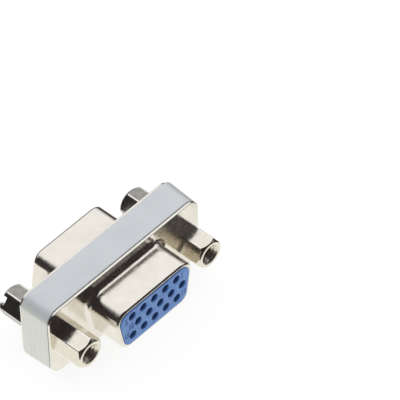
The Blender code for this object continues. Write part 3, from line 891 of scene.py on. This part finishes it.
def contact_material():
    """Thin gold over spring bronze, a little uneven."""
    material, tree, shader, place = new_material("gold_flash")
    cloud = noise(tree, place, CONTACT_CLOUD_SIZE)
    tree.links.new(mottle(tree, cloud, CONTACT_TINTS), shader.inputs["Base Color"])
    shader.inputs["Metallic"].default_value = 1.0
    tree.links.new(spread(tree, cloud, *CONTACT_ROUGHNESS), shader.inputs["Roughness"])
    return material


def board_material():
    """Green laminate over a woven glass cloth."""
    material, tree, shader, place = new_material("board_laminate")
    threads = []
    for direction in ("X", "Z"):
        settings = {"bands_direction": direction}
        wave = add_node(tree, "TexWave", settings, Vector=place, Scale=1 / BOARD_WEAVE_SIZE)
        threads.append(wave.outputs["Fac"])
    weave = combine(tree, "MULTIPLY", *threads)
    tree.links.new(blend(tree, weave, *BOARD_TINTS), shader.inputs["Base Color"])
    tree.links.new(spread(tree, weave, *BOARD_ROUGHNESS), shader.inputs["Roughness"])
    tree.links.new(bump(tree, weave, BOARD_WEAVE_HEIGHT), shader.inputs["Normal"])
    return material


def build_connector(side, rotation, size, meshes, materials):
    middle = (0.0, 0.0, size["axis_height"])
    shell = add_piece(
        side + "_drawn_shell", meshes[side + "_shell"], materials["nickel"],
        middle, rotation, stands_for=[side + "_shell"],
    )
    keep_flats_flat(shell)
    insulator = add_piece(
        side + "_moulding", meshes["insulator"], materials["blue"],
        middle, rotation, stands_for=[side + "_insulator"],
    )
    keep_flats_flat(insulator)
    add_piece(
        side + "_row_numerals", meshes["numerals"], materials["numeral_painted_shade"],
        middle, rotation,
    )
    turned_over = math.cos(rotation[0])
    for number, (x, z) in enumerate(size["pins"], start=1):
        add_piece(
            f"{side}_socket_{number:02d}", meshes["contact"], materials["contact"],
            (x, 0.0, size["axis_height"] + z * turned_over), rotation,
            stands_for=[f"{side}_contact_{number:02d}"],
        )


def turned(data, turn):
    """A copy of the mesh, turned about the Y axis."""
    copy = data.copy()
    copy.transform(Matrix.Rotation(turn, 4, "Y"))
    return copy


def build_fastener(name, kind, x, turn, rotation, finish, size, meshes, materials):
    """A hexagon head with its thread, turned about its own axis. The kinds are nut and screw."""
    place = (x, 0.0, size["axis_height"])
    head_data = turned(meshes[kind], turn)
    head = add_piece(
        name + "_body", head_data, materials[finish],
        place, rotation, stands_for=[name],
    )
    edges = head.modifiers.new("edge_round", "BEVEL")
    edges.width = HEX_EDGE_ROUND
    edges.segments = HEX_EDGE_SEGMENTS
    edges.limit_method = "ANGLE"
    edges.angle_limit = SMOOTH_ANGLE
    keep_flats_flat(head)
    thread_data = turned(meshes[kind + "_thread"], turn)
    add_piece(name + "_thread", thread_data, materials["thread"], place, rotation)


def build_adapter(nodes):
    size = read_sizes()
    nose_face = size["nose_face"]
    materials = {
        "nickel": nickel_material(),
        "bright_hardware": bar_material(
            "bright_hardware", BRIGHT_TINTS, BRIGHT_ROUGHNESS, BRIGHT_LINE_HEIGHT
        ),
        "dull_hardware": bar_material(
            "dull_hardware", DULL_TINTS, DULL_ROUGHNESS, DULL_LINE_HEIGHT
        ),
        "thread": thread_material(),
        "frame": frame_material(),
        "blue": blue_material("blue_moulding", BLUE_TINTS, nose_face),
        "numeral_painted_shade": blue_material("blue_numeral_painted_shade", NUMERAL_PAINTED_SHADE_TINTS, nose_face),
        "contact": contact_material(),
        "board": board_material(),
    }
    meshes = {
        "front_shell": shell_mesh(size, FRONT_RIM_ROUND),
        "rear_shell": shell_mesh(size, REAR_RIM_ROUND),
        "insulator": insulator_mesh(size),
        "numerals": numeral_mesh(size),
        "contact": contact_mesh(size),
        "nut": jack_nut_mesh(size),
        "screw": jack_screw_mesh(size),
        "nut_thread": thread_mesh(size, size["hex_end"] - size["hex_seat"], slotted=False),
        "screw_thread": thread_mesh(size, SCREW_BORE_DEPTH, slotted=True),
    }
    facing_front = (0.0, 0.0, 0.0)
    facing_rear = (math.pi, 0.0, 0.0)
    build_connector("front", facing_front, size, meshes, materials)
    build_connector("rear", facing_rear, size, meshes, materials)
    frame = add_piece(
        "satin_frame", frame_mesh(size), materials["frame"],
        (0.0, 0.0, size["axis_height"]), stands_for=["spacer_frame"],
    )
    keep_flats_flat(frame)
    left, right = size["left_axis"], size["right_axis"]
    fasteners = [
        ("front_left_jack_nut", "nut", left, -FRONT_LEFT_TURN, facing_front, "bright_hardware"),
        ("front_right_jack_nut", "nut", right, -FRONT_RIGHT_TURN, facing_front, "bright_hardware"),
        ("rear_left_jack_screw", "screw", left, REAR_LEFT_TURN, facing_rear, "dull_hardware"),
        ("rear_right_jack_screw", "screw", right, REAR_RIGHT_TURN, facing_rear, "dull_hardware"),
    ]
    for name, kind, x, turn, rotation, finish in fasteners:
        build_fastener(name, kind, x, turn, rotation, finish, size, meshes, materials)
    board = nodes["crossover_board"]
    for material_slot in board.material_slots:
        material_slot.material = materials["board"]


def grey(level):
    return (level, level, level)


def build_floor():
    """A white floor that shows as white and still takes the adapter's soft shadow."""
    bpy.ops.mesh.primitive_plane_add(size=FLOOR_SIZE)
    floor = bpy.context.object
    floor.name = "floor"
    material, tree, shader, place = new_material("white_floor")
    shader.inputs["Roughness"].default_value = 1.0
    shader.inputs["Specular IOR Level"].default_value = 0.0
    reach = measure(tree, "DISTANCE", place, PAPER_MIDDLE)
    depth = add_node(tree, "SeparateXYZ", Vector=place).outputs["Y"]
    past_edge = soft_step(tree, reach, *PAPER_EDGE)
    past_front = soft_step(tree, depth, *PAPER_FRONT)
    beyond = combine(tree, "MAXIMUM", past_edge, past_front)
    mirrored = blend(tree, beyond, MIRRORED_PAPER, BEYOND_PAPER)
    glossy = add_node(tree, "LightPath").outputs["Is Glossy Ray"]
    albedo = blend(tree, glossy, grey(FLOOR_ALBEDO), BLACK)
    tree.links.new(albedo, shader.inputs["Base Color"])
    glow = add_node(tree, "Emission", Color=blend(tree, glossy, grey(FLOOR_GLOW), mirrored))
    both = add_node(tree, "AddShader")
    tree.links.new(shader.outputs["BSDF"], both.inputs[0])
    tree.links.new(glow.outputs["Emission"], both.inputs[1])
    tree.links.new(both.outputs["Shader"], tree.nodes["Material Output"].inputs["Surface"])
    floor.data.materials.append(material)


def build_world():
    """Camera rays see white, reflections see the studio, and all other light is even."""
    world = bpy.data.worlds.new("studio")
    bpy.context.scene.world = world
    world.use_nodes = True
    world.cycles.sampling_method = "NONE"
    tree = world.node_tree
    direction = add_node(tree, "TexCoord").outputs["Generated"]
    towards_box = measure(tree, "DOT_PRODUCT", direction, BOX_SIDE)
    height = add_node(tree, "SeparateXYZ", Vector=direction).outputs["Z"]
    past_edge = soft_step(tree, towards_box, *BOX_EDGE)
    above_foot = soft_step(tree, height, *BOX_FOOT)
    box = combine(tree, "MULTIPLY", past_edge, above_foot)
    studio = blend(tree, box, WALL_LIGHT, grey(BOX_LIGHT))
    fill = blend(tree, box, grey(FILL_LOW), grey(FILL_HIGH))
    rays = add_node(tree, "LightPath").outputs
    light = blend(tree, rays["Is Glossy Ray"], fill, studio)
    seen = blend(tree, rays["Is Camera Ray"], light, WHITE)
    tree.links.new(seen, tree.nodes["Background"].inputs["Color"])


def build_camera():
    camera = bpy.data.objects.new("camera", bpy.data.cameras.new("camera"))
    bpy.context.scene.collection.objects.link(camera)
    camera.data.lens = CAMERA_LENS
    camera.data.sensor_width = SENSOR
    camera.data.clip_start = CLIP_START
    camera.data.clip_end = CLIP_END
    camera.location = CAMERA_PLACE
    camera.rotation_mode = "QUATERNION"
    camera.rotation_quaternion = (CAMERA_AIM - CAMERA_PLACE).to_track_quat("-Z", "Y")
    camera.rotation_mode = "XYZ"
    camera.rotation_euler.rotate_axis("Z", CAMERA_ROLL)
    bpy.context.scene.camera = camera


def main():
    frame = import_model()
    bpy.context.scene.view_settings.view_transform = "Standard"
    build_adapter(frame["nodes"])
    build_floor()
    build_world()
    build_camera()


main()
